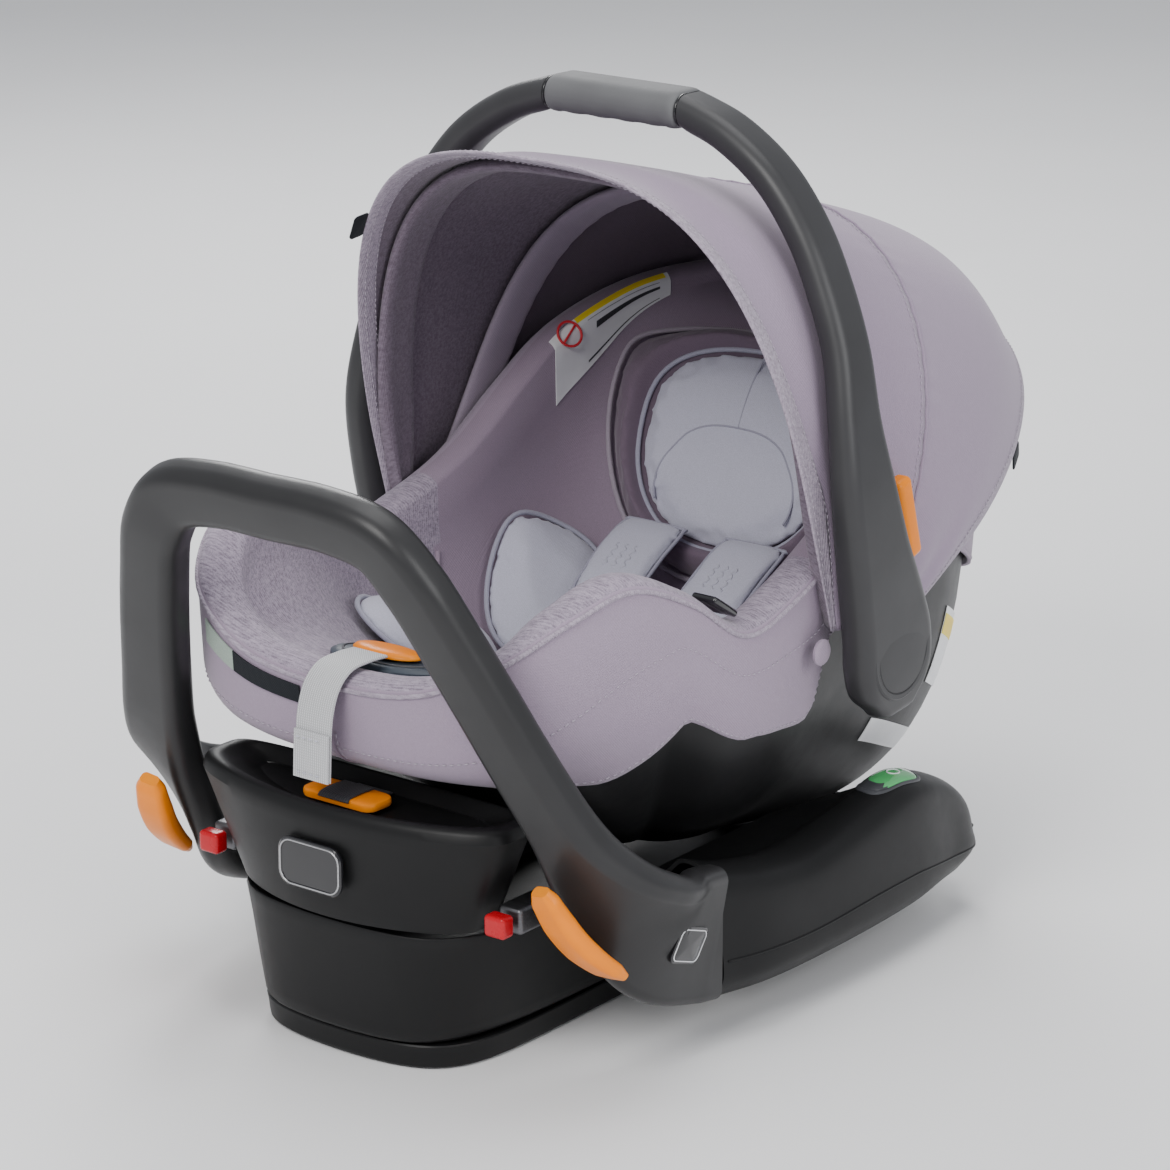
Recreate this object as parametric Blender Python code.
"""Infant car seat: a rear-facing carrier with handle and canopy, latched into its vehicle base.

Frame: +X is the width, -Y the foot end, +Y the head end, +Z up.  The origin lies on the
underside of the base's rear pad, on the symmetry plane.  Units are metres.
"""
import functools
import math

import bmesh
import bpy
import numpy as np
from mathutils import Matrix, Vector

# ---------------------------------------------------------------- driving dimensions
GAP = 0.0006                    # running gap between neighbouring pieces
WALL = 0.003                    # moulded plastic wall

FOOT_HEIGHT = 0.018             # recline foot below the tray
TRAY_FLOOR = FOOT_HEIGHT + GAP
TRAY_RIM = 0.097
TRAY_BOTTOM_HALF = 0.096
TRAY_TOP_HALF = 0.113
TRAY_FRONT = -0.333
TRAY_REAR = 0.168

WING_REAR = 0.160
WING_FRONT = -0.1795
WINDOW_CENTRE = (0.181, 0.034)  # level window on the ridge, x and y
WINDOW_HALF = (0.0125, 0.032)
WINDOW_LIFTS = (0.0012, 0.0028)  # its underside and top over the ridge

CARRIER_CENTRE_Y = -0.03        # plan point that every carrier loop is scaled about
SEAT_SQUARENESS = 2.6           # how boxy the seat's walls are
BELLY_SQUARENESS = 2.3          # the same for the shell's outside, at mid length
COVER_WIDTH = 0.030             # rolled rim of the cover, across
COVER_THICK = 0.005
SKIRT_THICK = 0.004
LINER_THICK = 0.014
SHELL_THICK = 0.004

CANOPY_PIVOT = (-0.065, 0.255)  # y, z
CANOPY_CLOTH = 0.003
BOW_RADIUS = 0.0035
STUD_RADIUS = 0.009             # stud at the canopy's lower corner
STUD_DROP = 0.012

HANDLE_PIVOT = (-0.012, 0.235)  # y, z
PIVOT_PIN_RADIUS = 0.0115
LEVER_LEAN = math.radians(16)   # release lever, parallel to the arm's rear edge

HOOK_PIVOT = (0.112, 0.0415)    # y, z
HOOK_RELEASE = math.radians(22)  # the latch is modelled released

STRAP_THICK = 0.0016
HARNESS_WIDTH = 0.038

AROUND = 36                     # samples round a carrier loop

# ---------------------------------------------------------------- guiding curves
# crest of the cover's rim, +X half, from the foot end to the head end
RIM_POINTS = (
    (0.000, -0.343, 0.254),
    (0.072, -0.342, 0.262),
    (0.126, -0.327, 0.287),
    (0.154, -0.292, 0.312),
    (0.168, -0.243, 0.325),
    (0.177, -0.190, 0.304),
    (0.183, -0.140, 0.272),
    (0.183, -0.085, 0.282),
    (0.178, -0.020, 0.306),
    (0.176, 0.042, 0.345),
    (0.171, 0.095, 0.377),
    (0.157, 0.165, 0.398),
    (0.124, 0.226, 0.407),
    (0.067, 0.263, 0.410),
    (0.000, 0.274, 0.411),
)
# seat surface on the symmetry plane, (y, z)
SEAT_LINE = (
    (-0.360, 0.248),
    (-0.310, 0.248),
    (-0.265, 0.242),
    (-0.210, 0.214),
    (-0.150, 0.178),
    (-0.080, 0.158),
    (-0.020, 0.156),
    (0.030, 0.167),
    (0.067, 0.191),
    (0.098, 0.227),
    (0.122, 0.271),
    (0.143, 0.318),
    (0.170, 0.360),
    (0.210, 0.392),
    (0.300, 0.405),
)
# underside of the carrier shell on the symmetry plane, (y, z)
BELLY_LINE = (
    (-0.360, 0.192),
    (-0.300, 0.189),
    (-0.262, 0.180),
    (-0.200, 0.138),
    (-0.130, 0.096),
    (-0.050, 0.066),
    (0.020, 0.058),
    (0.120, 0.052),
    (0.300, 0.052),
)
# how far down the shell the cover's skirt reaches, (y of the rim, share of the way out)
SKIRT_REACH = (
    (-0.343, 0.820),
    (-0.320, 0.830),
    (-0.280, 0.850),
    (-0.200, 0.925),
    (-0.126, 0.945),
    (-0.060, 0.925),
    (-0.044, 0.925),
    (-0.036, 0.985),
    (0.274, 0.985),
)
# canopy arches: half width, base (y, z), crown (y, z), squareness
CANOPY_RIBS = (
    (0.192, (-0.0545, 0.2550), (-0.1400, 0.5660), 3.0),
    (0.196, (-0.0450, 0.2560), (-0.0150, 0.5430), 3.0),
    (0.196, (-0.0150, 0.2600), (0.1000, 0.5080), 2.8),
    (0.193, (0.0200, 0.2520), (0.2500, 0.4580), 2.4),
    (0.186, (0.0500, 0.2400), (0.3700, 0.3650), 2.0),
)
MID_RIB = 2                     # index of the arch that carries the middle bow
FRONT_BOW_SHARE = 0.12          # the visor overhangs its bow by this share of the canopy
# handle centreline, +X half from the grip down: x, y, z, thickness (x), width (y)
HANDLE_STATIONS = (
    (0.000, -0.033, 0.5885, 0.019, 0.030),
    (0.0555, -0.033, 0.5885, 0.019, 0.030),
    (0.0570, -0.033, 0.5885, 0.022, 0.036),
    (0.092, -0.034, 0.5760, 0.022, 0.037),
    (0.128, -0.036, 0.5525, 0.022, 0.037),
    (0.156, -0.038, 0.5200, 0.022, 0.037),
    (0.176, -0.041, 0.4850, 0.022, 0.037),
    (0.193, -0.045, 0.4450, 0.022, 0.038),
    (0.204, -0.050, 0.4000, 0.022, 0.044),
    (0.2105, -0.048, 0.3550, 0.024, 0.056),
    (0.2115, -0.036, 0.3050, 0.026, 0.066),
    (0.2100, -0.020, 0.2600, 0.026, 0.078),
    (0.2085, -0.012, 0.2350, 0.026, 0.084),
    (0.2075, -0.008, 0.2120, 0.025, 0.076),
    (0.2070, -0.006, 0.1950, 0.022, 0.044),
)
GRIP_STATIONS = 2               # the stations up to this one run straight across
# anti-rebound arch, +X half from the middle down: x, y, z, band width, band thickness
ARCH_STATIONS = (
    (0.000, -0.3950, 0.3860, 0.044, 0.028),
    (0.045, -0.3945, 0.3860, 0.044, 0.028),
    (0.084, -0.3920, 0.3780, 0.046, 0.028),
    (0.108, -0.3850, 0.3520, 0.047, 0.028),
    (0.122, -0.3740, 0.3220, 0.047, 0.028),
    (0.139, -0.3580, 0.2800, 0.048, 0.028),
    (0.156, -0.3400, 0.2340, 0.049, 0.028),
    (0.172, -0.3220, 0.1920, 0.052, 0.028),
    (0.182, -0.3020, 0.1570, 0.062, 0.027),
    (0.188, -0.2720, 0.1230, 0.078, 0.026),
    (0.189, -0.2350, 0.0940, 0.092, 0.026),
    (0.185, -0.1820, 0.0775, 0.092, 0.024),
)
# direction across the band at each station above, as an angle from +X in the arch's plane
ARCH_TILT = (90, 90, 62, 28, 22, 22, 22, 26, 40, 58, 76, 90)
# ridge of the base's side, (y, z)
RIDGE_LINE = (
    (-0.1795, 0.124),
    (-0.150, 0.116),
    (-0.094, 0.109),
    (-0.035, 0.116),
    (0.013, 0.123),
    (0.044, 0.123),
    (0.089, 0.110),
    (0.125, 0.092),
    (0.160, 0.066),
)
# upper edge of the base tray, (y, z)
TRAY_TOP_LINE = ((-0.215, TRAY_RIM), (-0.185, 0.086), (-0.030, 0.084), (0.060, 0.044))
WING_OUTER_LINE = (
    (-0.1795, 0.196),
    (-0.126, 0.208),
    (-0.042, 0.211),
    (0.040, 0.208),
    (0.091, 0.200),
    (0.130, 0.192),
    (0.160, 0.170),
)


# ---------------------------------------------------------------- numeric helpers
def catmull(points, samples, closed=False):
    """Points spaced evenly along a smooth curve through the given points."""
    pts = np.asarray(points, float)
    count = len(pts)
    if closed:
        padded = np.vstack([pts[-1], pts, pts[0], pts[1]])
        spans = count
    else:
        padded = np.vstack([2 * pts[0] - pts[1], pts, 2 * pts[-1] - pts[-2]])
        spans = count - 1
    dense = []
    for span in range(spans):
        a, b, c, d = padded[span:span + 4]
        for t in np.linspace(0, 1, 24, endpoint=False):
            dense.append(0.5 * (2 * b + (c - a) * t + (2 * a - 5 * b + 4 * c - d) * t * t
                                + (3 * b - a - 3 * c + d) * t ** 3))
    if not closed:
        dense.append(pts[-1])
    else:
        dense.append(dense[0])
    dense = np.array(dense)
    length = np.concatenate([[0], np.cumsum(np.linalg.norm(np.diff(dense, axis=0), axis=1))])
    at = np.linspace(0, length[-1], samples, endpoint=not closed)
    return np.stack([np.interp(at, length, dense[:, k]) for k in range(dense.shape[1])], 1)


@functools.lru_cache(maxsize=None)
def smoothed(line):
    return catmull(line, 160)


def line_value(line, y):
    """Height of a smoothed (y, z) line at y."""
    dense = smoothed(line)
    return np.interp(y, dense[:, 0], dense[:, 1])


def mirrored(half):
    """Closed loop from a half outline that starts and ends on the symmetry plane."""
    half = np.asarray(half, float)
    other = half[-2:0:-1] * np.array([-1, 1, 1])
    return np.vstack([half, other])


def unit(v):
    v = np.asarray(v, float)
    return v / np.linalg.norm(v)


# ---------------------------------------------------------------- Blender helpers
MATERIALS = {}


def material(name, colour, roughness, metallic=0.0):
    if name not in MATERIALS:
        made = bpy.data.materials.new(name)
        made.use_nodes = True
        shader = made.node_tree.nodes["Principled BSDF"]
        shader.inputs["Base Color"].default_value = (*colour, 1.0)
        shader.inputs["Roughness"].default_value = roughness
        shader.inputs["Metallic"].default_value = metallic
        made.diffuse_color = (*colour, 1.0)
        MATERIALS[name] = made
    return MATERIALS[name]


def finish_mesh(name, bm, look, origin=(0, 0, 0)):
    """Turn a bmesh in world coordinates into a named object with its origin where asked."""
    bmesh.ops.remove_doubles(bm, verts=bm.verts, dist=1e-6)
    bmesh.ops.recalc_face_normals(bm, faces=bm.faces)
    bmesh.ops.translate(bm, vec=-Vector(origin), verts=bm.verts)
    mesh = bpy.data.meshes.new(name)
    bm.to_mesh(mesh)
    bm.free()
    made = bpy.data.objects.new(name, mesh)
    made.location = origin
    made.data.materials.append(look)
    mesh.shade_smooth()
    mesh.set_sharp_from_angle(angle=math.radians(35))
    bpy.context.collection.objects.link(made)
    return made


def loft(name, rings, look, origin=(0, 0, 0), cap="fan", wrap=False):
    """Skin closed rings of equal length; the ends get fans or flat polygons, or the loft wraps round."""
    bm = bmesh.new()
    rows = [[bm.verts.new(p) for p in ring] for ring in rings]
    pairs = list(zip(rows, rows[1:]))
    if wrap:
        pairs.append((rows[-1], rows[0]))
    for a, b in pairs:
        for k in range(len(a)):
            n = (k + 1) % len(a)
            bm.faces.new((a[k], a[n], b[n], b[k]))
    if cap == "flat":
        ends = [bm.faces.new(rows[0]), bm.faces.new(rows[-1])]
        bm.normal_update()
        bmesh.ops.triangulate(bm, faces=ends)
    elif not wrap:
        for row in (rows[0], rows[-1]):
            middle = bm.verts.new(np.mean([v.co for v in row], axis=0))
            for k in range(len(row)):
                bm.faces.new((row[k], row[(k + 1) % len(row)], middle))
    return finish_mesh(name, bm, look, origin)


def capped_skin(name, outer, inner, look, origin=(0, 0, 0)):
    """Wall between two stacks of closed loops; each stack's first loop shrinks to one point."""
    bm = bmesh.new()
    stacks = []
    for loops in (outer, inner):
        pole = bm.verts.new(np.mean(loops[0], axis=0))
        rows = [[bm.verts.new(p) for p in loop] for loop in loops[1:]]
        for k in range(len(rows[0])):
            bm.faces.new((rows[0][k], rows[0][(k + 1) % len(rows[0])], pole))
        for a, b in zip(rows, rows[1:]):
            for k in range(len(a)):
                n = (k + 1) % len(a)
                bm.faces.new((a[k], a[n], b[n], b[k]))
        stacks.append(rows[-1])
    a, b = stacks
    for k in range(len(a)):
        n = (k + 1) % len(a)
        bm.faces.new((a[k], a[n], b[n], b[k]))
    return finish_mesh(name, bm, look, origin)


def sheet_solid(name, outer, inner, look, origin=(0, 0, 0)):
    """Closed cloth solid between two open grids of the same shape."""
    bm = bmesh.new()
    top = [[bm.verts.new(p) for p in row] for row in outer]
    low = [[bm.verts.new(p) for p in row] for row in inner]
    height, width = len(top), len(top[0])
    for grid in (top, low):
        for i in range(height - 1):
            for j in range(width - 1):
                bm.faces.new((grid[i][j], grid[i][j + 1], grid[i + 1][j + 1], grid[i + 1][j]))
    for i in range(height - 1):
        for j in (0, width - 1):
            bm.faces.new((top[i][j], top[i + 1][j], low[i + 1][j], low[i][j]))
    for j in range(width - 1):
        for i in (0, height - 1):
            bm.faces.new((top[i][j], top[i][j + 1], low[i][j + 1], low[i][j]))
    return finish_mesh(name, bm, look, origin)


def box(name, centre, size, look, bevel=0.002, tilt_x=0.0, origin=None):
    """Bevelled block; tilt_x leans it about the X axis through its centre."""
    bm = bmesh.new()
    bmesh.ops.create_cube(bm, size=1.0)
    bmesh.ops.scale(bm, vec=size, verts=bm.verts)
    bmesh.ops.bevel(bm, geom=bm.edges[:], offset=bevel, segments=2, affect="EDGES", profile=0.5)
    bmesh.ops.transform(bm, matrix=Matrix.Rotation(tilt_x, 4, "X"), verts=bm.verts)
    bmesh.ops.translate(bm, vec=Vector(centre), verts=bm.verts)
    return finish_mesh(name, bm, look, origin if origin is not None else centre)


def rounded_section(width, thickness, corner=0.5, steps=3):
    """Rounded rectangle outline as (across, through) pairs; corner is a share of the thickness."""
    radius = corner * min(width, thickness)
    points = []
    for quarter, (sx, sy) in enumerate(((1, 1), (-1, 1), (-1, -1), (1, -1))):
        for k in range(steps):
            angle = math.radians(90 * quarter + 90 * k / (steps - 1))
            points.append((sx * (width / 2 - radius) + radius * math.cos(angle),
                           sy * (thickness / 2 - radius) + radius * math.sin(angle)))
    return points


def band_rings(stations, across, through, corner=0.5, steps=3, grow=0.0):
    """Rings along a path; across and through are unit vectors at each station."""
    rings = []
    for (centre, width, thickness), a, t in zip(stations, across, through):
        section = rounded_section(width + 2 * grow, thickness + 2 * grow, corner, steps)
        rings.append([np.asarray(centre) + u * a + v * t for u, v in section])
    return rings


def ribbon(name, path, across, width, thickness, look, origin=(0, 0, 0)):
    """Flat webbing along a smooth path, with its width along one direction."""
    path = np.asarray(path, float)
    rings = []
    for k, centre in enumerate(path):
        tangent = unit(path[min(k + 1, len(path) - 1)] - path[max(k - 1, 0)])
        a = unit(np.asarray(across, float) - tangent * np.dot(across, tangent))
        t = np.cross(tangent, a)
        corners = ((1, 1), (-1, 1), (-1, -1), (1, -1))
        rings.append([centre + a * width / 2 * sx + t * thickness / 2 * sy for sx, sy in corners])
    return loft(name, rings, look, origin)


def tube(name, path, radius, look, sides=8, origin=(0, 0, 0)):
    """Round bar along a path of points."""
    path = np.asarray(path, float)
    rings = []
    normal = None
    for k, centre in enumerate(path):
        tangent = unit(path[min(k + 1, len(path) - 1)] - path[max(k - 1, 0)])
        if normal is None:
            helper = (0, 0, 1) if abs(tangent[2]) < 0.9 else (0, 1, 0)
            normal = unit(np.cross(tangent, helper))
        normal = unit(normal - tangent * np.dot(normal, tangent))
        side = np.cross(tangent, normal)
        turns = [2 * math.pi * n / sides for n in range(sides)]
        rings.append([centre + radius * (math.cos(w) * normal + math.sin(w) * side) for w in turns])
    return loft(name, rings, look, origin)


def extruded_x(name, outline, x0, x1, look, origin=(0, 0, 0)):
    """Flat plate: a (y, z) outline pushed from x0 to x1."""
    rings = [[(x, y, z) for y, z in outline] for x in (x0, x1)]
    return loft(name, rings, look, origin, cap="flat")


def cut(target, cutter):
    """Take the cutter's solid away from the target."""
    cutter.hide_render = True
    cutter.display_type = "WIRE"
    change = target.modifiers.new("cut_" + cutter.name, "BOOLEAN")
    change.operation = "DIFFERENCE"
    change.solver = "EXACT"
    change.object = cutter


def side_name(stem, side):
    return stem + ("_left" if side > 0 else "_right")


def flip(points, side):
    """Mirror points across the symmetry plane for the other side of the seat."""
    return np.asarray(points, float) * np.array([side, 1, 1])


# ---------------------------------------------------------------- carrier bowl
@functools.lru_cache(maxsize=None)
def rim_loop(outset, samples=AROUND):
    """The rim's closed loop, moved outwards in plan by outset."""
    loop = catmull(mirrored(RIM_POINTS), samples, closed=True)
    ahead = np.roll(loop, -1, axis=0)
    behind = np.roll(loop, 1, axis=0)
    along = (ahead - behind)[:, :2]
    along /= np.linalg.norm(along, axis=1)[:, None]
    moved = loop.copy()
    moved[:, 0] += along[:, 1] * outset
    moved[:, 1] -= along[:, 0] * outset
    return moved


def bowl_loop(rim, share, floor_line, drop, squareness):
    """Loop of a bowl at a share (0 the middle, 1 the rim) of the way out to its rim."""
    plan = rim.copy()
    plan[:, 0] = rim[:, 0] * share
    plan[:, 1] = CARRIER_CENTRE_Y + (rim[:, 1] - CARRIER_CENTRE_Y) * share
    floor = line_value(floor_line, plan[:, 1]) - drop
    rise = 1 - (1 - np.minimum(share, 1.0) ** squareness) ** (1 / squareness)
    plan[:, 2] = floor + (rim[:, 2] - floor) * rise
    return plan


def seat_loops(outset, drop, shares):
    rim = rim_loop(outset)
    return [bowl_loop(rim, s, SEAT_LINE, drop, SEAT_SQUARENESS) for s in shares]


def belly_loops(outset, drop, shares):
    rim = rim_loop(outset)
    to_head = np.clip((rim[:, 1] - CARRIER_CENTRE_Y) / 0.3, 0, 1)
    to_foot = np.clip((-0.20 - rim[:, 1]) / 0.14, 0, 1)
    squareness = BELLY_SQUARENESS + 2.6 * to_head ** 2 + 2.6 * to_foot
    return [bowl_loop(rim, s, BELLY_LINE, drop, squareness) for s in shares]


@functools.lru_cache(maxsize=None)
def rim_polar():
    """Heading, reach and height of the cover's inner rim, sorted by heading."""
    rim = rim_loop(-COVER_WIDTH, 240)
    heading = np.arctan2(rim[:, 1] - CARRIER_CENTRE_Y, rim[:, 0])
    order = np.argsort(heading)
    reach = np.hypot(rim[:, 0], rim[:, 1] - CARRIER_CENTRE_Y)
    return heading[order], reach[order], rim[order, 2]


def seat_surface(x, y):
    """Height of the cover's inner surface over a plan point."""
    dx, dy = x, y - CARRIER_CENTRE_Y
    heading, reach, height = rim_polar()
    angle = math.atan2(dy, dx)
    edge = np.interp(angle, heading, reach, period=2 * math.pi)
    top = np.interp(angle, heading, height, period=2 * math.pi)
    share = min(math.hypot(dx, dy) / edge, 0.995)
    floor = line_value(SEAT_LINE, y)
    rise = 1 - (1 - share ** SEAT_SQUARENESS) ** (1 / SEAT_SQUARENESS)
    return floor + (top - floor) * rise


def seat_frame(x, y):
    """Point and inward normal of the cover's inner surface over a plan point."""
    step = 0.004
    slope_x = (seat_surface(x + step, y) - seat_surface(x - step, y)) / (2 * step)
    slope_y = (seat_surface(x, y + step) - seat_surface(x, y - step)) / (2 * step)
    normal = unit((-slope_x, -slope_y, 1))
    return np.array([x, y, seat_surface(x, y)]), normal


def cushion(thickness):
    """Height of a plain crowned pad at a share of the way from its middle to its edge."""
    return lambda share: thickness * (0.25 + 0.75 * math.sqrt(max(0.0, 1 - share ** 3)))


def seat_pad(name, centre, half, clearance, height, look, turn=0.0, rings=4, around=14, origin=(0, 0, 0),
             bend=1.0):
    """Pad on the seat: an oval patch in plan, between two heights along the seat's normals.

    A bend below 1 makes the oval squarer.
    """
    c, s = math.cos(turn), math.sin(turn)
    lower, upper = [], []
    for ring in range(rings + 1):
        share = ring / rings
        low_loop, up_loop = [], []
        for k in range(around):
            angle = 2 * math.pi * k / around
            u = half[0] * share * math.copysign(abs(math.cos(angle)) ** bend, math.cos(angle))
            v = half[1] * share * math.copysign(abs(math.sin(angle)) ** bend, math.sin(angle))
            x, y = centre[0] + c * u - s * v, centre[1] + s * u + c * v
            point, normal = seat_frame(x, y)
            low_loop.append(point + normal * clearance(share))
            up_loop.append(point + normal * (clearance(share) + height(share)))
        lower.append(low_loop)
        upper.append(up_loop)
    return capped_skin(name, upper, lower, look, origin)


# ---------------------------------------------------------------- base
def tray_loop(z, inset):
    """Rounded plan outline of the base tray at height z."""
    rise = (z - TRAY_FLOOR) / (TRAY_RIM - TRAY_FLOOR)
    half = TRAY_BOTTOM_HALF + (TRAY_TOP_HALF - TRAY_BOTTOM_HALF) * rise - inset
    front = TRAY_FRONT - 0.004 * rise + inset
    rear = TRAY_REAR - inset
    outline = []
    for k in range(28):
        angle = 2 * math.pi * k / 28
        c, s = math.cos(angle), math.sin(angle)
        u = math.copysign(abs(c) ** 0.35, c)
        v = math.copysign(abs(s) ** 0.35, s)
        bow = 0.016 * (1 - u * u) * (1 if v < 0 else 0)
        y = (front + rear) / 2 + (rear - front) / 2 * v - bow
        top = np.interp(y, *np.array(TRAY_TOP_LINE).T)
        outline.append((half * u, y, min(z, top)))
    return outline


def build_tray(look):
    floor = TRAY_FLOOR
    outer = [[(0, -0.08, floor)] * 28, tray_loop(floor, 0.004), tray_loop(floor + 0.004, 0),
             tray_loop(0.035, 0), tray_loop(TRAY_RIM, 0)]
    inner = [[(0, -0.08, floor + WALL)] * 28, tray_loop(floor + WALL, 0.006),
             tray_loop(floor + 0.008, WALL), tray_loop(0.035, WALL), tray_loop(TRAY_RIM, WALL)]
    return capped_skin("base_tray", outer, inner, look)


def front_cover_loop(z, half, front, inset):
    outline = []
    back = -0.287
    for k in range(24):
        angle = 2 * math.pi * k / 24
        c, s = math.cos(angle), math.sin(angle)
        u = math.copysign(abs(c) ** 0.4, c)
        v = math.copysign(abs(s) ** 0.4, s)
        bow = 0.028 * (1 - u * u) if v < 0 else 0.0
        y = (front + back) / 2 + (back - front - 2 * inset) / 2 * v - bow
        outline.append(((half - inset) * u, y, z))
    return outline


def build_front_cover(look):
    low, lip, sunk = 0.1005, 0.1790, 0.1690
    profile = ((sunk, 0.104, -0.322, 0.010), (lip - 0.0025, 0.120, -0.330, 0.004),
               (lip, 0.1245, -0.332, 0.002), (lip - 0.0025, 0.1295, -0.334, 0.0),
               (lip - 0.009, 0.130, -0.336, 0.0), (low, 0.099, -0.328, 0.0))
    outer = [[(0, -0.32, sunk)] * 24]
    outer += [front_cover_loop(z, half, front, inset) for z, half, front, inset in profile]
    inner = [[(0, -0.32, sunk - WALL)] * 24]
    for z, half, front, inset in profile:
        inset_more = 0.5 * WALL if z > lip - 0.004 and half < 0.122 else WALL
        drop = 0.0 if z == low else WALL
        inner.append(front_cover_loop(z - drop, half, front, inset + inset_more))
    return capped_skin("base_front_cover", outer, inner, look)


def wing_section(y, inset):
    """Inverted channel of the base's side at y, from the outer foot over the ridge to the shelf."""
    outer_x = np.interp(y, *np.array(WING_OUTER_LINE).T)
    ridge = np.interp(y, *catmull(RIDGE_LINE, 60).T)
    low = 0.031
    shelf_x = 0.1185 + 0.022 * float(np.clip((y + 0.02) / 0.10, 0, 1))
    shelf_z = min(0.0985, ridge - 0.004)
    top_x = outer_x - 0.026
    points = (
        (outer_x - 0.010, low),
        (outer_x, low + 0.014),
        (outer_x - 0.0015, low + 0.45 * (ridge - low)),
        (outer_x - 0.007, ridge - 0.012 if ridge > 0.06 else ridge - 0.004),
        (top_x + 0.006, ridge - 0.002),
        (top_x - 0.010, ridge - 0.0005),
        (top_x - 0.024, (ridge + shelf_z) / 2),
        (shelf_x, shelf_z),
    )
    pts = np.array(points)
    tangent = np.gradient(pts, axis=0)
    normal = np.stack([-tangent[:, 1], tangent[:, 0]], 1)
    normal /= np.linalg.norm(normal, axis=1)[:, None]
    inner = pts + normal * inset
    return np.vstack([pts, inner[::-1]])


def wing_top(x, y):
    """Height of the side's upper face over a plan point."""
    top = wing_section(y, WALL)[2:8]
    return float(np.interp(-x, -top[:, 0], top[:, 1]))


def window_outline(share):
    """Plan outline of the level window, a rounded oblong on the ridge, at a share of its size."""
    outline = []
    for c, s in circle(20):
        outline.append((WINDOW_CENTRE[0] + share * WINDOW_HALF[0] * math.copysign(abs(c) ** 0.7, c),
                        WINDOW_CENTRE[1] + share * WINDOW_HALF[1] * math.copysign(abs(s) ** 0.7, s)))
    return outline


def build_wing(side, look):
    rings = []
    for y in np.concatenate([np.linspace(WING_FRONT, 0.10, 12), [0.12, 0.135, 0.148, WING_REAR]]):
        section = wing_section(y, WALL)
        rings.append([(side * x, y, z) for x, z in section])
    return loft(side_name("base_side", side), rings, look)


def arch_frames():
    """Centre, width, thickness and axes of the anti-rebound arch, +X half."""
    lean = unit((0, -0.372, 0.928))
    stations, across, through = [], [], []
    for (x, y, z, width, thick), tilt in zip(ARCH_STATIONS, ARCH_TILT):
        stations.append((np.array([x, y, z]), width, thick))
        angle = math.radians(tilt)
        flat = unit((0, -0.10, 1.0))
        upright = lean if z > 0.17 else flat
        a = unit(math.cos(angle) * np.array([1, 0, 0]) + math.sin(angle) * upright)
        across.append(a)
    for k in range(len(stations)):
        ahead = stations[min(k + 1, len(stations) - 1)][0]
        behind = stations[max(k - 1, 0)][0]
        tangent = unit(ahead - behind) if k else np.array([1.0, 0, 0])
        if k == len(stations) - 1:
            tangent = np.array([0, 1.0, 0])
        across[k] = unit(across[k] - tangent * np.dot(across[k], tangent))
        through.append(unit(np.cross(tangent, across[k])))
    return stations, across, through


def build_arch(look):
    stations, across, through = arch_frames()
    half = band_rings(stations, across, through, corner=0.38, steps=3)
    other = [flip(ring, -1) for ring in half[:0:-1]]
    return loft("anti_rebound_bar", [list(r) for r in other] + half, look)


def build_base(looks):
    plastic, rubber, steel = looks["base_plastic"], looks["rubber"], looks["steel"]
    orange, grey = looks["orange"], looks["webbing"]
    build_tray(plastic)
    build_front_cover(plastic)
    build_arch(looks["bar_plastic"])
    box("base_rear_pad", (0, 0.06, FOOT_HEIGHT / 2), (0.150, 0.160, FOOT_HEIGHT), rubber, 0.003)
    tube("latch_bar", [(x, 0.118, 0.0325) for x in (-0.0885, 0.0, 0.0885)], 0.004, steel, sides=10)
    box("front_badge", (0, -0.3655, 0.137), (0.054, 0.0022, 0.034), looks["gloss_black"], 0.0009, 0.0)
    for side in (1, -1):
        build_wing(side, plastic)
        lower, upper = [[[(side * x, y, wing_top(x, y) + lift) for x, y in window_outline(share)]
                         for share in (0.0, 0.35, 0.70, 1.0)] for lift in WINDOW_LIFTS]
        capped_skin(side_name("level_window", side), upper, lower, looks["level_green"])
        box(side_name("anchor_connector", side), (side * 0.1235, -0.292, 0.1135),
            (0.019, 0.044, 0.018), looks["dark_metal"], 0.002)
        box(side_name("anchor_button", side), (side * 0.1235, -0.3245, 0.1135),
            (0.017, 0.012, 0.015), looks["red"], 0.002)
        strap = catmull([(0.1235, -0.2690, 0.1135), (0.1250, -0.250, 0.1130), (0.1290, -0.225, 0.1040),
                         (0.1330, -0.200, 0.0900)], 8)
        ribbon(side_name("anchor_strap", side), flip(strap, side), (0, 0.3, 1), 0.016,
               STRAP_THICK, grey)
    foot = [[(0, -0.08, 0.0)] * 28] + [foot_loop(z, i) for z, i in ((0.0, 0.003), (0.003, 0.0),
                                                                    (FOOT_HEIGHT - GAP, -0.0015))]
    top = [[(0, -0.08, 0.004)] * 28] + [foot_loop(z, i) for z, i in ((0.004, 0.010), (0.008, 0.006),
                                                                     (FOOT_HEIGHT - GAP, 0.0035))]
    capped_skin("recline_foot", foot, top, plastic, (0, -0.2, 0.0))
    for side in (1, -1):
        build_lockoff(side, orange)
    box("cinch_tab", (0, -0.3280, 0.1750), (0.062, 0.026, 0.0065), orange, 0.002, 0.0)
    strap = catmull([(0, -0.3145, 0.1745), (0, -0.307, 0.1728), (0, -0.3000, 0.1715)], 4)
    ribbon("cinch_strap", strap, (1, 0, 0), 0.030, STRAP_THICK, looks["dark_webbing"])


def circle(count):
    return [(math.cos(2 * math.pi * k / count), math.sin(2 * math.pi * k / count)) for k in range(count)]


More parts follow.
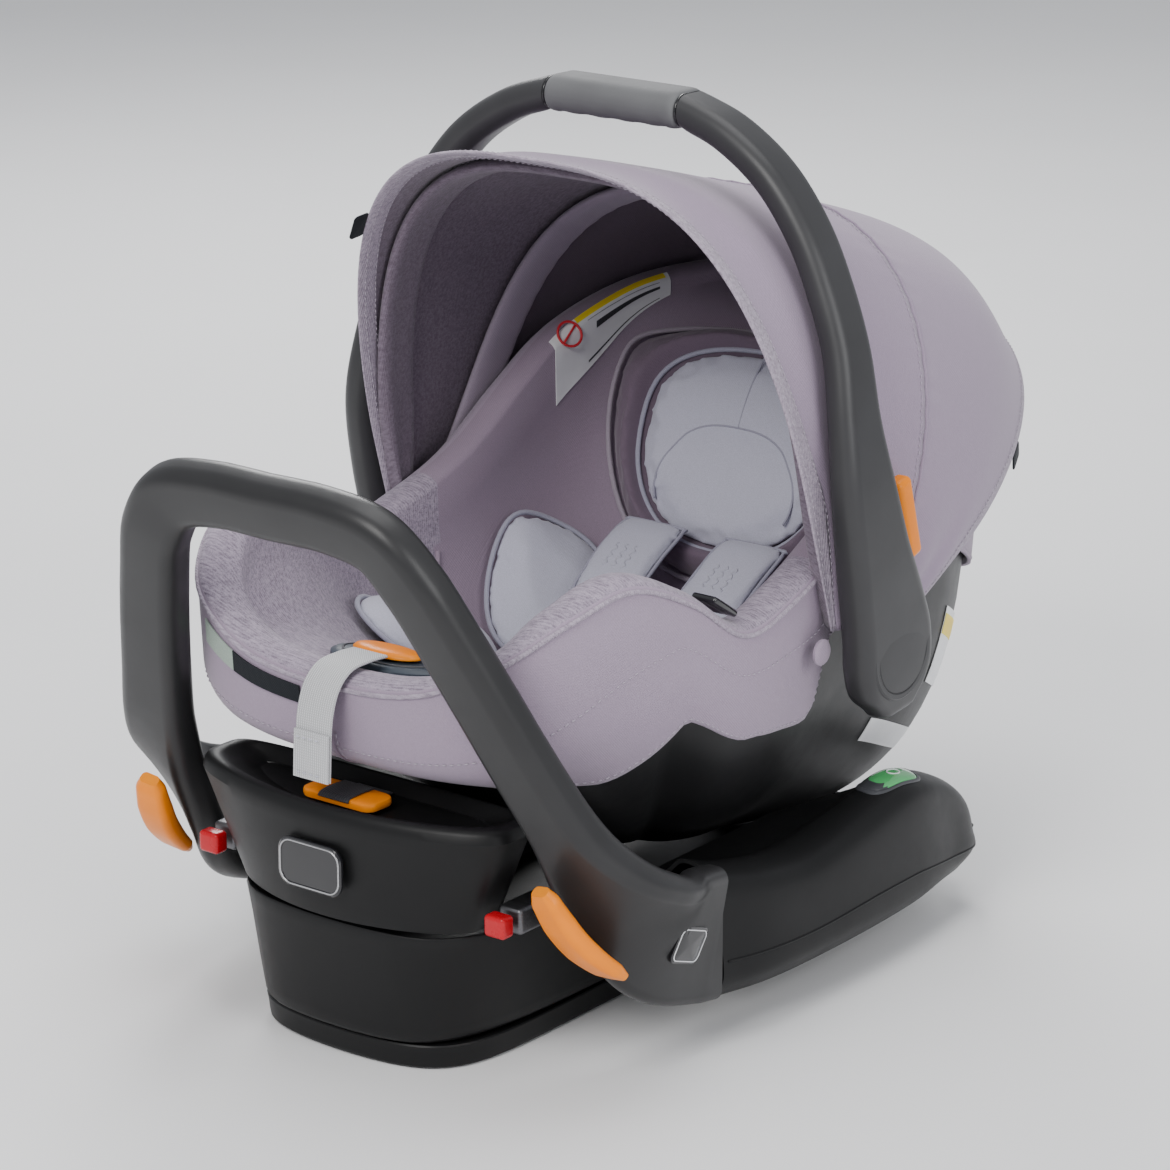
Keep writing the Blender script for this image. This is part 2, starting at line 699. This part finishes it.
def foot_loop(z, inset):
    """Plan outline of the recline foot; it lies under the front of the tray."""
    half, front, rear = 0.0935 - inset, -0.3275 + inset, -0.045 - inset
    outline = []
    for k in range(28):
        angle = 2 * math.pi * k / 28
        c, s = math.cos(angle), math.sin(angle)
        u = math.copysign(abs(c) ** 0.35, c)
        v = math.copysign(abs(s) ** 0.35, s)
        bow = 0.016 * (1 - u * u) if v < 0 else 0.0
        outline.append((half * u, (front + rear) / 2 + (rear - front) / 2 * v - bow, z))
    return outline


LOCKOFF_TOP = np.array([0.1680, -0.3380, 0.1515])
LOCKOFF_END = np.array([0.1900, -0.2850, 0.0825])


def build_lockoff(side, look):
    """Curved paddle below the arch's foot, hinged at its upper end."""
    along = unit(LOCKOFF_END - LOCKOFF_TOP)
    out = unit((0, along[2], -along[1]))
    if out[1] > 0:
        out = -out
    across = unit(np.cross(along, out))
    length = np.linalg.norm(LOCKOFF_END - LOCKOFF_TOP)
    stations = []
    for t, width, thick in ((0.0, 0.014, 0.008), (0.08, 0.022, 0.012), (0.3, 0.026, 0.014),
                            (0.6, 0.026, 0.014), (0.88, 0.024, 0.011), (1.0, 0.016, 0.006)):
        sag = 0.007 * math.sin(math.pi * t)
        stations.append((LOCKOFF_TOP + along * length * t + out * sag, width, thick))
    frames = len(stations)
    rings = band_rings(stations, [across] * frames, [out] * frames, 0.35, 2)
    rings = [flip(r, side) for r in rings]
    loft(side_name("belt_lockoff", side), rings, look, tuple(flip([LOCKOFF_TOP], side)[0]))


# ---------------------------------------------------------------- carrier
def build_bucket(looks):
    shares = (0, 0.22, 0.42, 0.60, 0.75, 0.86, 0.94, 0.985, 1.0)
    inner_out = -COVER_WIDTH + COVER_THICK
    liner_in, liner_out = inner_out + GAP, inner_out + GAP + LINER_THICK
    shell_in = liner_out + GAP
    shell_out = shell_in + SHELL_THICK
    skirt_in = shell_out + 0.002

    liner_top = seat_loops(liner_in, COVER_THICK + GAP, shares)
    liner_back = seat_loops(liner_out, COVER_THICK + LINER_THICK, shares)
    capped_skin("foam_liner", liner_back, liner_top, looks["foam"])
    shell_face = belly_loops(shell_in, -SHELL_THICK, shares)
    shell_back = belly_loops(shell_out, 0.0, shares)
    capped_skin("carrier_shell", shell_back, shell_face, looks["shell_plastic"])

    visible = seat_loops(-COVER_WIDTH, 0.0, shares[:-1])
    under = seat_loops(inner_out, COVER_THICK, shares[:-1])
    rim_mid = rim_loop(-0.5 * COVER_WIDTH)
    crest = [raised(rim_loop(-COVER_WIDTH), 0.0015), raised(rim_mid, 0.0075)]
    lining = [raised(rim_loop(inner_out), 0.0005), raised(rim_mid, 0.0028)]
    rim_y = rim_loop(0.0)[:, 1]
    reach = np.interp(rim_y, *np.array(SKIRT_REACH).T)
    towards_foot = np.clip((-0.08 - rim_y) / 0.10, 0, 1)[:, None]
    for part_way, swell in ((0.0, 0.0), (0.09, 0.001), (0.33, 0.005), (0.67, 0.008), (1.0, 0.009)):
        share = 1 - (1 - reach) * part_way
        for loops, out, follow in ((crest, skirt_in + SKIRT_THICK, 1.0), (lining, skirt_in, 0.8)):
            close = belly_loops(out, out - skirt_in + 0.003, (share,))[0]
            full = belly_loops(out + follow * swell, out - skirt_in + 0.003, (share,))[0]
            loops.append(close + (full - close) * towards_foot)
    capped_skin("seat_cover", visible + crest, under + lining, looks["cover_fabric"])


def raised(loop, height):
    moved = loop.copy()
    moved[:, 2] += height
    return moved


def ring_height(share):
    """Head surround: a low middle inside a fat ring."""
    return 0.006 + 0.020 * math.exp(-((share - 0.85) / 0.12) ** 2)


def build_pads(looks):
    mauve, lilac = looks["surround_fabric"], looks["pillow_fabric"]
    centre, half, nest, bend = (0, 0.128), (0.129, 0.047), 0.72, 0.85
    seat_pad("head_surround", centre, half, lambda s: 0.006, ring_height, mauve, rings=10, around=20,
             bend=bend)
    seat_pad("head_pillow", centre, (half[0] * nest, half[1] * nest),
             lambda s: 0.0090 + ring_height(s * nest), cushion(0.017), lilac, around=20, bend=bend)
    for side in (1, -1):
        seat_pad(side_name("hip_pad", side), (side * 0.101, 0.010), (0.040, 0.054), lambda s: 0.006,
                 cushion(0.020), lilac, turn=side * 0.10)
        seat_pad(side_name("thigh_pad", side), (side * 0.106, -0.124), (0.041, 0.068), lambda s: 0.006,
                 cushion(0.027), lilac, turn=side * -0.10)


def build_harness(looks):
    dark = looks["gloss_black"]
    for side in (1, -1):
        route = catmull([(0.043, 0.0600, 0.2440), (0.043, 0.048, 0.2410), (0.043, 0.030, 0.2310),
                         (0.042, 0.000, 0.2120), (0.034, -0.050, 0.1960), (0.020, -0.084, 0.1900)], 12)
        ribbon(side_name("harness_strap", side), flip(route, side), (1, 0, 0), HARNESS_WIDTH * 0.66,
               STRAP_THICK, dark)
        spine = catmull([(0.044, 0.0640, 0.2575), (0.044, 0.050, 0.2520), (0.044, 0.028, 0.2405),
                         (0.043, -0.002, 0.2210)], 7)
        rings = []
        for k, centre in enumerate(spine):
            tangent = unit(spine[min(k + 1, 6)] - spine[max(k - 1, 0)])
            through = unit(np.cross(tangent, (1, 0, 0)))
            end = 0.72 if k in (0, 6) else 1.0
            section = rounded_section(0.052 * end, 0.0115 * end, 0.5, 3)
            rings.append([centre + u * np.array([1.0, 0, 0]) + v * through for u, v in section])
        loft(side_name("harness_pad", side), [flip(r, side) for r in rings], looks["pillow_fabric"])
    box("chest_clip", (0, -0.037, 0.2080), (0.096, 0.024, 0.008), dark, 0.002, math.radians(20))
    box("harness_buckle", (0, -0.1120, 0.1900), (0.046, 0.050, 0.018), dark, 0.004, 0.0)
    box("buckle_button", (0, -0.1130, 0.2058), (0.022, 0.026, 0.0062), looks["red"], 0.002, 0.0)
    ribbon("crotch_strap", catmull([(0, -0.138, 0.1900), (0, -0.147, 0.1905), (0, -0.156, 0.1935)], 5),
           (1, 0, 0), 0.030, STRAP_THICK, dark)


def build_adjuster(looks):
    """Front harness adjuster: oval surround, release lever and the pull strap that hangs from it."""
    slate, orange, webbing = looks["slate"], looks["orange"], looks["webbing"]
    seat_pad("adjuster_housing", (0, -0.283), (0.048, 0.025), lambda s: 0.0030, cushion(0.0070), slate,
             rings=3, around=18)
    seat_pad("adjuster_lever", (0, -0.287), (0.028, 0.013), lambda s: 0.0115, cushion(0.0050), orange,
             rings=3, origin=(0, -0.2740, 0.2640))
    hang = catmull([(0, -0.3030, 0.2665), (0, -0.3200, 0.2675), (0, -0.3380, 0.2660), (0, -0.3510, 0.2560),
                    (0, -0.3580, 0.2380), (0, -0.3600, 0.2150), (0, -0.3610, 0.1960)], 14)
    ribbon("adjuster_strap", hang, (1, 0, 0), 0.030, 0.0020, webbing)


# ---------------------------------------------------------------- canopy
def canopy_rib(share, samples):
    """Arch of the canopy at a share (0 the visor, 1 the rear edge) of the way back."""
    table = np.array([[w, b[0], b[1], t[0], t[1], n] for w, b, t, n in CANOPY_RIBS])
    dense_at = np.linspace(0, 1, 97)
    dense = np.stack([catmull_values(table[:, k], 97) for k in range(6)], 1)
    w, y0, z0, y1, z1, n = [np.interp(share, dense_at, dense[:, k]) for k in range(6)]
    points = []
    for turn in np.linspace(0, math.pi, samples):
        c, s = math.cos(turn), max(math.sin(turn), 0.0)
        x = w * math.copysign(abs(c) ** (2 / n), c)
        rise = s ** (2 / n)
        sweep = rise ** (1.0 - 0.45 * math.sin(math.pi * min(share, 1.0)))
        points.append((x, y0 + (y1 - y0) * sweep, z0 + (z1 - z0) * rise))
    return np.array(points)


def catmull_values(values, samples):
    """Smooth interpolation of evenly spaced values."""
    v = np.concatenate([[2 * values[0] - values[1]], values, [2 * values[-1] - values[-2]]])
    out = []
    for at in np.linspace(0, len(values) - 1, samples):
        k = min(int(at), len(values) - 2)
        t = at - k
        a, b, c, d = v[k:k + 4]
        out.append(0.5 * (2 * b + (c - a) * t + (2 * a - 5 * b + 4 * c - d) * t * t
                          + (3 * b - a - 3 * c + d) * t ** 3))
    return np.array(out)


def canopy_grid(start, stop, rows, columns, inward):
    """Grid of canopy points moved inwards, square to the cloth."""
    shares = np.linspace(start, stop, rows)
    step = 0.01
    grid = []
    for share in shares:
        here = canopy_rib(share, columns)
        ahead, behind = canopy_rib(share + step, columns), canopy_rib(share - step, columns)
        back = ahead - behind
        round_ = np.gradient(here, axis=0)
        normal = np.cross(back, round_)
        normal /= np.linalg.norm(normal, axis=1)[:, None]
        centre = np.array([0, CANOPY_PIVOT[0] + 0.1, CANOPY_PIVOT[1]])
        facing = np.sign(np.sum(normal * (centre - here), axis=1))
        grid.append(here + normal * facing[:, None] * inward)
    return grid


def build_canopy(looks):
    cloth, plastic = looks["canopy_fabric"], looks["handle_plastic"]
    middle = MID_RIB / (len(CANOPY_RIBS) - 1)
    split = 0.004
    for name, start, stop, rows in (("canopy_front_panel", 0.0, middle - split, 9),
                                    ("canopy_rear_panel", middle + split, 1.0, 9)):
        outer = canopy_grid(start, stop, rows, 19, 0.0)
        inner = canopy_grid(start, stop, rows, 19, CANOPY_CLOTH)
        sheet_solid(name, outer, inner, cloth, (0, *CANOPY_PIVOT))
    inward = CANOPY_CLOTH + BOW_RADIUS + 0.0015
    bows = (("canopy_front_bow", FRONT_BOW_SHARE, plastic), ("canopy_mid_bow", middle, plastic),
            ("canopy_rear_rim", 0.96, looks["steel"]))
    for name, share, look in bows:
        path = canopy_grid(share, share, 1, 25, inward)[0][1:-1]
        tube(name, path, BOW_RADIUS, look, 6, (0, *CANOPY_PIVOT))
    for side in (1, -1):
        disc = [(CANOPY_PIVOT[0] + STUD_RADIUS * c, CANOPY_PIVOT[1] - STUD_DROP + STUD_RADIUS * s)
                for c, s in circle(14)]
        extruded_x(side_name("canopy_pivot", side), disc, side * 0.1905, side * 0.1935, plastic)


# ---------------------------------------------------------------- handle
def handle_frames():
    """Centres, sizes and axes along the handle, +X half."""
    data = np.array(HANDLE_STATIONS)
    stations, across, through = [], [], []
    for k, (x, y, z, thick, width) in enumerate(data):
        stations.append((np.array([x, y, z]), width, thick))
        ahead, behind = data[min(k + 1, len(data) - 1), :3], data[max(k - 1, 0), :3]
        tangent = unit(ahead - behind) if k > GRIP_STATIONS else np.array([1.0, 0, 0])
        a = unit(np.array([0, 1.0, 0]) - tangent * tangent[1])
        across.append(a)
        through.append(unit(np.cross(tangent, a)))
    return stations, across, through


def build_handle(looks):
    plastic, rubber, orange = looks["handle_plastic"], looks["grip_rubber"], looks["orange"]
    stations, across, through = handle_frames()
    half = band_rings(stations, across, through, 0.46, 4)
    other = [flip(ring, -1) for ring in half[:0:-1]]
    origin = (0, *HANDLE_PIVOT)
    bar = loft("handle_bar", [list(r) for r in other] + half, plastic, origin)
    for side in (1, -1):
        hole = [(HANDLE_PIVOT[0] + (PIVOT_PIN_RADIUS + 0.0005) * c,
                 HANDLE_PIVOT[1] + (PIVOT_PIN_RADIUS + 0.0005) * s) for c, s in circle(20)]
        bore = extruded_x(side_name("pivot_bore", side), hole, side * 0.185, side * 0.2075, plastic)
        cut(bar, bore)
        pin = [[(side * x, HANDLE_PIVOT[0] + r * c, HANDLE_PIVOT[1] + r * s) for c, s in circle(20)]
               for x, r in ((0.1885, 0.022), (0.1937, 0.022), (0.1937, PIVOT_PIN_RADIUS),
                            (0.2068, PIVOT_PIN_RADIUS))]
        loft(side_name("handle_pivot", side), pin, looks["shell_plastic"])
        box(side_name("handle_lever", side), (side * 0.2050, 0.0100, 0.322), (0.013, 0.016, 0.060),
            orange, 0.003, LEVER_LEAN)
    flat = [(np.array([x, -0.033, 0.5885]), 0.031, 0.020) for x in (-0.0545, 0.0545)]
    a, t = np.array([0, 1.0, 0]), np.array([0, 0, 1.0])
    outer_size = ((0.0365, 0.0225), (0.040, 0.0255), (0.040, 0.0255), (0.0365, 0.0225))
    xs = (-0.0545, -0.0505, 0.0505, 0.0545)
    outer = [[np.array([x, -0.033, 0.5885]) + u * a + v * t for u, v in rounded_section(w, h, 0.46, 4)]
             for x, (w, h) in zip(xs, outer_size)]
    inner = [[c + u * a + v * t for u, v in rounded_section(0.0312, 0.0202, 0.46, 4)] for c, _, _ in flat]
    loft("handle_grip", outer + inner[::-1], rubber, origin, wrap=True)


# ---------------------------------------------------------------- latch and trim
def build_latch(looks):
    steel = looks["steel"]
    handle = rounded_section(0.110, 0.036, 0.5, 4)
    rings = [[(u, y, 0.290 + v) for u, v in handle] for y in (0.2900, 0.3010)]
    loft("release_handle", rings, looks["handle_plastic"], (0, 0.29, 0.27))
    arm, reach, tip, low = -0.006, 0.018, 0.007, -0.0175
    closed = [(arm, 0.0020), (reach, 0.0020), (reach, low), (tip, low), (tip, low + 0.0028),
              (reach - 0.005, low + 0.0028), (reach - 0.005, -0.0030), (arm, -0.0030)]
    c, s = math.cos(HOOK_RELEASE), math.sin(HOOK_RELEASE)
    hook = [(HOOK_PIVOT[0] + y * c - z * s, HOOK_PIVOT[1] + y * s + z * c) for y, z in closed]
    extruded_x("latch_hook", hook, -0.030, 0.030, steel, (0, *HOOK_PIVOT))
    box("splitter_plate", (0, 0.205, 0.150), (0.060, 0.003, 0.036), steel, 0.0009, 0.0)
    for side in (1, -1):
        box(side_name("belt_guide", side), (side * 0.166, -0.152, 0.2935), (0.020, 0.030, 0.005),
            looks["gloss_black"], 0.002, math.radians(-33))


def main():
    for leftover in list(bpy.data.objects):
        bpy.data.objects.remove(leftover, do_unlink=True)
    looks = {
        "base_plastic": material("base_plastic", (0.035, 0.036, 0.038), 0.45),
        "bar_plastic": material("bar_plastic", (0.055, 0.056, 0.060), 0.40),
        "shell_plastic": material("shell_plastic", (0.020, 0.020, 0.022), 0.45),
        "handle_plastic": material("handle_plastic", (0.085, 0.087, 0.092), 0.38),
        "grip_rubber": material("grip_rubber", (0.13, 0.13, 0.135), 0.70),
        "gloss_black": material("gloss_black", (0.010, 0.010, 0.012), 0.15),
        "rubber": material("rubber", (0.030, 0.030, 0.030), 0.85),
        "slate": material("slate", (0.045, 0.055, 0.070), 0.55),
        "orange": material("orange", (0.900, 0.330, 0.030), 0.35),
        "red": material("red", (0.700, 0.020, 0.030), 0.30),
        "level_green": material("level_green", (0.100, 0.480, 0.220), 0.20),
        "steel": material("steel", (0.450, 0.450, 0.460), 0.30, 1.0),
        "dark_metal": material("dark_metal", (0.200, 0.200, 0.210), 0.40, 0.6),
        "webbing": material("webbing", (0.420, 0.420, 0.440), 0.80),
        "dark_webbing": material("dark_webbing", (0.060, 0.060, 0.070), 0.80),
        "foam": material("foam", (0.800, 0.800, 0.800), 0.90),
        "cover_fabric": material("cover_fabric", (0.300, 0.240, 0.300), 0.85),
        "surround_fabric": material("surround_fabric", (0.220, 0.170, 0.220), 0.85),
        "pillow_fabric": material("pillow_fabric", (0.480, 0.480, 0.560), 0.85),
        "canopy_fabric": material("canopy_fabric", (0.360, 0.300, 0.370), 0.85),
    }
    build_base(looks)
    build_bucket(looks)
    build_pads(looks)
    build_harness(looks)
    build_adjuster(looks)
    build_canopy(looks)
    build_handle(looks)
    build_latch(looks)


main()
